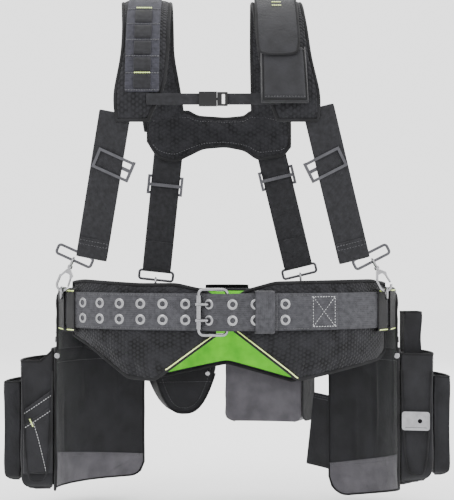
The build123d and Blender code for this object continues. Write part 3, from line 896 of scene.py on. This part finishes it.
def shoulder_furniture():
    """Ladder webbing with its small tool loops, and the phone pocket with its flap."""
    low, high = height_angle(304), 89.0

    def ladder(u, v, sign):
        swell = 0.9 * (0.55 + 0.45 * crown(u, 8) * crown(v, 8))
        return arch(12.4 + 0.9 + sign * swell, mix(low, high, v), mix(-142, -94, u))

    size = (48, radians(high - low) * 150)
    closed_grid("ladder_panel_webbing", ladder, 16, 60, size, LADDER_WEB, "harness", ("ladder_panel",))
    rungs = [(308, 328), (332, 352), (356, 376), (380, 400), (404, 424)]
    for index, (z0, z1) in enumerate(rungs):
        a0, a1 = height_angle(z0), height_angle(z1)

        def lift(u, v, sign, a0=a0, a1=a1):
            angle = mix(a0, a1, v)
            return arch(15.0 + 1.6 * crown(v, 4) + sign * 0.7, angle, mix(-130, -106, u))

        stands = ("tool_loops",) if index == 0 else ()
        closed_grid(f"tool_loop_{index + 1}", lift, 10, 10,
                    (24, 20), STRAP_WEB, "harness", stands)
    folds = []
    for z in (306, 330, 354, 378, 402, 426):
        angle = height_angle(z)
        folds.append([arch(14.9, angle, x) for x in (-141, -118, -95)])
    stitches("ladder_folds", folds, DARK_THREAD, "harness", 3.0, 0.6, 0.7)
    tacks = [[arch(18.0, height_angle(z), x) for x in (-129, -107)] for z in (329, 425)]
    stitches("ladder_tacks", tacks, LIME_THREAD, "harness", 2.4, 0.1, 0.9)
    pocket()


def pocket():
    a0, a1 = height_angle(287), height_angle(366)

    def face(u, v, depth):
        """Pocket surface: depth 0 on the pad, 1 on the outer face."""
        angle = mix(a0, a1, v)
        x = mix(mix(47, 113, u), mix(46, 109, u), v)
        y_part = mix(ARCH_A + 16.6, ARCH_A + 36, depth)
        z_part = mix(ARCH_B + 16.6, ARCH_B + 12.2, depth)
        return Vector((x, ARCH_Y - y_part * cos(radians(angle)), ARCH_Z + z_part * sin(radians(angle))))

    def outer(u, v):
        round_off = crown(u, 10) * min(1.0, v * 9)
        return face(u, v, 0.25 + 0.72 * round_off)

    def bag(u, v, sign):
        return outer(u, v) if sign > 0 else face(u, v, 0.12)

    closed_grid("phone_pocket_cloth", bag, 26, 26, (66, 80), POCKET_CLOTH, "harness", ("phone_pocket",))
    proud = Vector((0, -0.9, 0.2))
    hem = [[outer(mix(0.08, 0.92, k / 16), v) + proud for k in range(17)] for v in (0.95, 0.1)]
    stitches("phone_pocket_stitches", hem, DARK_THREAD, "harness")
    rim = [outer(0.05, 1 - k / 20) for k in range(19)]
    rim += [outer(mix(0.05, 0.95, k / 12), 0.06) for k in range(13)]
    rim += [outer(0.95, mix(0.1, 1, k / 18)) for k in range(19)]
    tube("phone_pocket_piping", rim, 1.3, BINDING, "harness")

    def flap(u, v, sign):
        angle = mix(height_angle(352), 87.3, v)
        tuck = 10 * max(0.0, 1 - v * 7) ** 2 * abs(2 * u - 1) ** 3
        x = mix(mix(41, 102, u), mix(38, 98, u), v)
        x = mix(x, 70, tuck / 60)
        swell = 0.8 + 0.7 * crown(u, 6) * crown(v, 6)
        y_part = ARCH_A + 38.7 + sign * swell
        z_part = ARCH_B + 14.8 + sign * swell
        z = ARCH_Z + z_part * sin(radians(angle)) + tuck * 0.5
        return Vector((x, ARCH_Y - y_part * cos(radians(angle)), z))

    closed_grid("phone_flap_cloth", flap, 24, 46, (62, 110),
                POCKET_CLOTH, "phone_flap", ("phone_flap",))

    def root(u, v, sign):
        """Folded cloth that joins the flap's back edge to the top of the pad."""
        return Vector((mix(40, 97, u), mix(-10, 11, v), 450 + (4.9 * crown(v, 3) if sign > 0 else 0)))

    closed_grid("phone_flap_root", root, 16, 14, (57, 21), POCKET_CLOTH, "harness")
    edge = [flap(0.03, 1 - k / 30, 0.2) for k in range(30)]
    edge += [flap(mix(0.03, 0.97, k / 14), 0.01, 0.2) for k in range(15)]
    edge += [flap(0.97, k / 30, 0.2) for k in range(1, 31)]
    tube("phone_flap_binding", edge, 1.9, BINDING, "phone_flap")
    badge = [[flap(0.5 + 0.05 * k, v, 1.6) for k in (-2, 0, 2)] for v in (0.62, 0.55)]
    stitches("phone_flap_mark", badge, LIME_THREAD, "phone_flap", 2.6, 0.1, 0.8)


def chest():
    left_low, left_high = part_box("chest_strap_left")
    y = (left_low.y + left_high.y) / 2 / MM
    z = (left_low.z + left_high.z) / 2 / MM
    for node, start, end, body in (("chest_strap_left", -112, -37, "harness"),
                                   ("chest_strap_right", -3, 74, "chest_plug")):
        path = [Vector((mix(start, end, k / 24), y, z)) for k in range(25)]
        ribbon(node + "_webbing", path, UP, 16, 1.5, STRAP_WEB, body, (node,))


def suspenders():
    for name in ("front_left", "front_right", "rear_left", "rear_right"):
        suspender(name)
    shoulder_pad("left")
    shoulder_pad("right")
    yoke()
    shoulder_furniture()
    chest()


# ---------------------------------------------------------------- pouches

def rounding(radius, rise):
    """How far in a rounded corner lies, at a rise above its foot."""
    if rise >= radius:
        return 0.0
    return radius - sqrt(max(0.0, radius ** 2 - max(0.0, radius - rise) ** 2))


def tub(name, start, end, inner, outer, low, high, material, body, stands_for=(), corner=16.0, wall=2.0,
        bulge=5.0, rim=1.6):
    """Sewn open-topped bag that follows the waist, with a rounded bottom and a bound mouth.
    low and high give z at a share along the bag and a share across it."""
    span = abs(radians(end - start)) * MEAN_RADIUS
    depth = outer - inner
    around = [(k / 40, 0.0, 0) for k in range(41)]
    around += [(1.0, k / 10, 1) for k in range(1, 11)]
    around += [(1 - k / 40, 1.0, 2) for k in range(1, 41)]
    around += [(0.0, 1 - k / 10, 3) for k in range(1, 10)]
    count = len(around)
    rows = 30

    def place(s, t, v, inset, wall_side):
        z = mix(low(s, t), high(s, t), v)
        shrink = rounding(corner, z - low(s, t)) + inset
        share_s = min(max(s, shrink / span), 1 - shrink / span)
        share_t = min(max(t, (inset if t < 0.5 else 0) / depth), 1 - shrink / depth)
        swell = bulge * crown(v, 3) * (crown(s, 4) if t > 0.99 else 0.0)
        swell += bulge * 0.6 * crown(v, 3) * crown(t, 4)
        if t < 0.01:
            swell = 0.0
        turn = mix(start, end, share_s)
        noise_lift = wobble((s * span, t * depth + 50, z), 32, 2.6) if inset == 0 and t > 0.01 else 0.0
        offset = mix(inner, outer, share_t) - swell * 0.35 + min(noise_lift, 0.8) * (1 if t > 0.99 else 0)
        if wall_side in (1, 3):
            turn += (1 if wall_side == 1 else -1) * (1 if end > start else -1) * (noise_lift - 1.4) / 4.4
        return oval(offset, turn, z)

    verts, uvs, faces = [], [], []
    for layer, inset in ((0, 0.0), (1, wall)):
        for r in range(rows + 1):
            v = r / rows if layer == 0 else mix(wall / 150, 1, r / rows)
            for s, t, side in around:
                verts.append(place(s, t, v, inset, side))
                uvs.append((s * span / 10, v * 20))
    ring = (rows + 1) * count
    for layer in range(2):
        base = layer * ring
        for r in range(rows):
            for k in range(count):
                n = (k + 1) % count
                a, b = base + r * count + k, base + r * count + n
                c, d = base + (r + 1) * count + n, base + (r + 1) * count + k
                faces.append((a, b, c, d) if layer == 0 else (d, c, b, a))
    for k in range(count):
        n = (k + 1) % count
        a, b = rows * count + k, rows * count + n
        faces.append((a, b, ring + b, ring + a))
    for layer in range(2):
        base = layer * ring
        for k in range(40):
            lower, upper = base + k, base + k + 1
            other_low, other_up = base + 90 - k, base + 89 - k
            quad = (lower, other_low, other_up, upper)
            faces.append(quad if layer == 0 else quad[::-1])
    finish_mesh(name, verts, faces, uvs, material, body, stands_for, soft=True)
    seams = [[place(s, t, v, -0.3, side) for s, t, side in around[40:91]] for v in (0.93, 0.96)]
    stitches(name + "_stitches", seams, DARK_THREAD if material is GREY_CLOTH else PALE_THREAD, body)
    mouth = [place(s, t, 1.0, wall / 2, side) for s, t, side in around]
    tube(name + "_hem", mouth, rim, BINDING, body, closed=True)


def flat(value):
    return lambda s, t: value


def panel(name, start, end, offset, thick, low, high, material, body, stands_for=(), round_low=20.0,
          nu=80, nv=34, folds=()):
    """Flat cloth panel on the waist side of a pouch, low and high give z at a share along it."""
    span = abs(radians(end - start)) * MEAN_RADIUS

    def place(u, v, sign):
        z = mix(low(u) + rounding(round_low, min(u, 1 - u) * span), high(u), v)
        thickness = thick / 2 * (0.6 + 0.4 * crown(u, 10) * crown(v, 10))
        ripple = min(wobble((u * span, 11, z), 40, 1.5), 0.4)
        for centre, depth, first, last in folds:
            fade = crown(min(max((v - first) / (last - first), 0), 1), 2)
            ripple += depth * fade * bell((u - centre) * span, 4.5)
        return oval(offset + sign * thickness + ripple, mix(start, end, u), z)

    closed_grid(name, place, nu, nv, (span, 200), material, body,
                stands_for)
    return place


def rivet_tops(name, spots, body):
    """Small domed rivet caps."""
    verts, faces = [], []
    for centre, outward in spots:
        side = outward.cross(UP).normalized()
        up = side.cross(outward)
        base = len(verts)
        for radius, rise in ((4.2, 0.0), (4.2, 0.7), (3.4, 1.3), (1.6, 1.0), (0.6, 1.1)):
            for k in range(20):
                turn = k * pi / 10
                verts.append(centre + side * cos(turn) * radius + up * sin(turn) * radius + outward * rise)
        for r in range(4):
            for k in range(20):
                n = (k + 1) % 20
                a, b = base + r * 20, base + (r + 1) * 20
                faces.append((a + k, a + n, b + n, b + k))
        faces.append(tuple(base + 80 + k for k in range(20)))
        faces.append(tuple(base + k for k in range(19, -1, -1)))
    finish_mesh(name, verts, faces, None, NICKEL, body)


def pouch_trim(body, back, grey, height):
    """Piping round a pouch's back panel, and the rows of thread on the panel and its grey base."""
    piping = [back(0, 1 - k / 30, -1) for k in range(30)] + [back(k / 50, 0.0, -1) for k in range(51)]
    tube(body + "_piping", piping + [back(1, k / 30, -1) for k in range(1, 31)], 1.7, BINDING, body)
    rows = [[grey(k / 40, v, -1) * DRAWN_IN for k in range(41)] for v in (0.96, 0.86)]
    rows.append([back(k / 40, height, -1) * DRAWN_IN for k in range(41)])
    stitches(body + "_panel_stitches", rows, DARK_THREAD, body)


def left_pouch():
    body = "left_pouch"
    low = flat(-264)
    folds = ((0.15, 2.6, 0.35, 0.95), (0.62, 1.4, 0.2, 0.7), (0.4, 1.2, 0.5, 1.0))
    back = panel("left_pouch_back_cloth", -149, -79, 13.4, 2.6, lambda u: -265, lambda u: -58, POUCH_CLOTH,
                 body, ("left_pouch_back",), folds=folds)
    grey = panel("left_pouch_grey_base", -148.6, -79.6, 11.6, 0.9, lambda u: -264,
                 lambda u: mix(-232, -208, u), GREY_CLOTH, body, (), 20.0, 50, 10)
    tub("left_pouch_bag_cloth", -80, -148, 15.6, 62, low, lambda s, t: -76 + 16 * max(0.0, 1 - t * 2.5),
        POUCH_CLOTH, body, ("left_pouch_bag",), 22.0)
    tub("left_outer_pocket_cloth", -86, -142, 62.6, 86, flat(-252), lambda s, t: -108, POUCH_CLOTH, body,
        ("left_outer_pocket",), 12.0)
    left_gusset(-78.9)
    pouch_trim(body, back, grey, 0.885)
    diagonal = [grey(mix(0.0, 0.22, k / 10), mix(0.95, 0.15, k / 10), -1) * DRAWN_IN for k in range(11)]
    stitches("left_pouch_diagonal", [diagonal], DARK_THREAD, body)


def left_gusset(turn):
    """End pockets and stitching on the left pouch's front end."""
    body = "left_pouch"

    def slab(name, o0, o1, z0, z1, slope, depth, stands_for=()):
        def place(u, v, face):
            offset = mix(o0, o1, u)
            z = mix(z0, z1 + slope * u, v)
            step = depth * (0.5 + 0.5 * crown(u, 8)) + wobble((offset, z, 3), 20, 0.8)
            return oval(offset, turn + (step / 2.9) * (1 if face > 0 else 0.1), z)

        closed_grid(name, place, 20, 24, (o1 - o0, z1 - z0),
                    POUCH_CLOTH, body, stands_for)
        rows = [[place(k / 20, 0.94, 1) + Vector((0, -0.6, 0)) for k in range(1, 20)]]
        stitches(name + "_hem_stitches", rows, PALE_THREAD, body)
        return place

    slab("left_end_pocket_back", 17, 60, -238, -116, -30, 3.0, ("left_end_pockets",))
    front = slab("left_end_pocket_front", 19, 60, -236, -140, -28, 5.0)
    divide = [[front(mix(0.2, 0.68, v), v, 1) + Vector((0, -0.7, 0)) for v in (0.02, 0.3, 0.6, 0.9)]]
    stitches("left_end_divide", divide, PALE_THREAD, body)
    tack = [[front(mix(0.66, 0.76, v), mix(0.86, 1.02, v), 1) + Vector((0, -1.2, 0)) for v in (0, 1)]]
    stitches("left_end_tack", tack, LIME_THREAD, body, 2.4, 0.1, 1.0)
    curve = []
    for k in range(25):
        z = -90 - 158 * (1 - abs(2 * k / 24 - 1) ** 5)
        curve.append(oval(mix(16.5, 60.5, k / 24), turn, z) + Vector((0, -5.5, 0)))
    tube("left_gusset_piping", curve, 1.5, BINDING, body)


def right_pouch():
    body = "right_pouch"

    def bottom(s):
        return mix(-258, -290, min(1.0, s * 1.15))

    folds = ((0.61, 3.2, 0.3, 0.95), (0.35, 1.5, 0.4, 1.0), (0.8, 1.6, 0.1, 0.7))
    back = panel("right_pouch_back_cloth", 79, 141, 13.4, 2.6, lambda u: bottom(u) - 2, lambda u: -58,
                 POUCH_CLOTH, body, ("right_pouch_back",), 26.0, folds=folds)
    grey = panel("right_pouch_grey_base", 79.6, 140.6, 11.6, 0.9, lambda u: bottom(u) - 1,
                 lambda u: mix(-207, -245, u), GREY_CLOTH, body, (), 26.0, 50, 10)
    tub("right_pouch_bag_cloth", 80, 140, 15.6, 62, lambda s, t: mix(bottom(s), -254, t) + 2,
        lambda s, t: -66, POUCH_CLOTH, body, ("right_pouch_bag",), 22.0)
    tub("right_outer_pocket_cloth", 86, 134, 62.6, 86, flat(-245), lambda s, t: -100, POUCH_CLOTH, body,
        ("right_outer_pocket",), 12.0)
    tub("right_sleeve_cloth", 93, 101, 22, 48, flat(-119), flat(-7), POUCH_CLOTH, body,
        ("right_sleeve_pocket",), 5.0, 1.6, 1.0)
    pouch_trim(body, back, grey, 0.9)

    def rear_pocket(u, v, sign):
        turn = mix(mix(148.5, 151.5, 1 - v), 141.2, u)
        z = mix(-250 - 6 * u, -137 - 4 * u, v)
        return oval(mix(20, 15, u) + sign * (0.8 + 0.7 * crown(u, 6) * crown(v, 6)), turn, z)

    closed_grid("right_rear_pocket_cloth", rear_pocket, 16,
                24, (45, 115), POUCH_CLOTH, body)
    rows = [[rear_pocket(k / 12, v, -1.6) for k in range(13)] for v in (0.93, 0.96)]
    stitches("right_rear_pocket_stitches", rows, DARK_THREAD, body)
    edge = [oval(mix(17, 60, k / 24), 79.2, -90 - 150 * (1 - abs(k / 12 - 1) ** 5)) for k in range(25)]
    tube("right_gusset_piping", edge, 1.5, BINDING, body)


def rear_pouches():
    tub("rear_grey_pouch_cloth", 152.3, 180.7, 10, 54.6, flat(-185.5), flat(-61), GREY_CLOTH, "grey_pouch",
        ("rear_grey_pouch",), 12.0, 2.0, 3.0)

    def end(u, v, sign):
        return oval(mix(9, 54, u), 152.0 - 0.25 - sign * 0.2, mix(-184 + 8 * (2 * u - 1) ** 4, -62, v))

    closed_grid("rear_grey_pouch_end", end, 16, 16, (45, 120),
                POUCH_CLOTH, "grey_pouch")

    def bowl(s, t):
        return -172 + 62 * abs(2 * s - 1) ** 2.6

    tub("rear_round_pouch_cloth", 184.0, 207.2, 10, 44.6, bowl, flat(-61), POUCH_CLOTH, "round_pouch",
        ("rear_round_pouch",), 10.0, 2.0, 3.0)
    rim = [oval(9.6, mix(184.4, 206.8, k / 40), bowl(k / 40, 0) + 1) for k in range(41)]
    tube("rear_round_pouch_binding", rim, 1.8, BINDING, "round_pouch")
    rows = [[oval(9.4, mix(186, 205, k / 40), bowl(k / 40, 0) + 9) for k in range(41)]]
    rows.append([oval(9.5, mix(185, 206, k / 20), -122) for k in range(21)])
    stitches("rear_round_pouch_stitches", rows, DARK_THREAD, "round_pouch")


def pouch_rivets():
    spots = []
    for turn, z in ((-88, -46), (-136, -46), (88, -46), (136, -46), (176, -48), (200, -48)):
        offset = 9.2 if abs(turn) > 150 else 10.7
        spot = oval(offset, turn, z)
        spots.append((spot, outward_at(spot)))
    rivet_tops("harness_rivet_caps", spots, "harness")
    for name, body, turns in (("left", "left_pouch", (-81.5, -146)), ("right", "right_pouch", (81.5, 138))):
        caps = []
        for turn in turns:
            spot = oval(11.7, turn, -69)
            caps.append((spot, -outward_at(spot)))
        rivet_tops(f"{name}_pouch_rivet_caps", caps, body)
    for name, side in (("left", -1), ("right", 1)):
        spot = oval(13.4, side * 79.4, -68) + Vector((side * -3, -2.2, 0))
        rivet_tops(f"{name}_pouch_end_rivet", [(spot, Vector((0, -1, 0)))], f"{name}_pouch")
    spot = oval(9.6, 187, -109)
    rivet_tops("round_pouch_rivet_cap", [(spot, Vector((0, -1, 0)))], "round_pouch")


def metalwork():
    bright = ["d_rings", "tape_clip", "pouch_rivets", "buckle_frame", "buckle_roller",
              "buckle_tongue_upper", "buckle_tongue_lower", "hook_eyes"]
    corners = ("front_left", "front_right", "rear_left", "rear_right")
    bright += [f"{c}_{part}" for c in corners for part in ("hook", "gate")]
    paint_cad(bright, NICKEL)
    paint_cad(["strap_end_loops"] + [f"{c}_adjuster" for c in corners], GUNMETAL)
    paint_cad(["chest_socket", "chest_plug", "chest_prong_upper", "chest_prong_lower"], BLACK_PLASTIC)


# ---------------------------------------------------------------- stage, light and camera

def stage():
    floor_z = cad_low.z - 0.012
    bpy.ops.mesh.primitive_plane_add(size=14, location=(0, 0, floor_z))
    floor = bpy.context.object
    floor.name = "floor"
    paint = Paint("pale_floor", 0.9, specular=0.1)
    floor.data.materials.append(paint.done((0.94, 0.94, 0.94, 1)))
    world = bpy.data.worlds.new("studio")
    bpy.context.scene.world = world
    world.use_nodes = True
    world.node_tree.nodes["Background"].inputs[0].default_value = (1, 1, 1, 1)
    world.node_tree.nodes["Background"].inputs[1].default_value = 2.3
    lamps = (("key", (-1.4, -2.2, 1.9), 34, 1.6), ("fill", (1.9, -1.8, 0.8), 20, 1.8),
             ("top", (0, 0.3, 2.4), 22, 1.6), ("rim", (0.6, 2.2, 1.2), 18, 1.5))
    for name, place, power, size in lamps:
        light = bpy.data.lights.new(name, "AREA")
        light.energy = power
        light.size = size
        lamp = placed(name, light)
        lamp.location = place
        lamp.rotation_euler = (-Vector(place)).to_track_quat("-Z", "Y").to_euler()


def camera():
    lens = bpy.data.cameras.new("camera")
    lens.sensor_width = 36
    lens.lens = 99.9
    eye = placed("camera", lens)
    eye.location = (0, -2.038, 0.085)
    eye.rotation_euler = (pi / 2, 0, 0)
    bpy.context.scene.camera = eye


# ---------------------------------------------------------------- running the build

def run():
    belt()
    pads()
    tunnels()
    hip_panels()
    suspenders()
    left_pouch()
    right_pouch()
    rear_pouches()
    pouch_rivets()
    metalwork()
    stage()
    camera()


run()
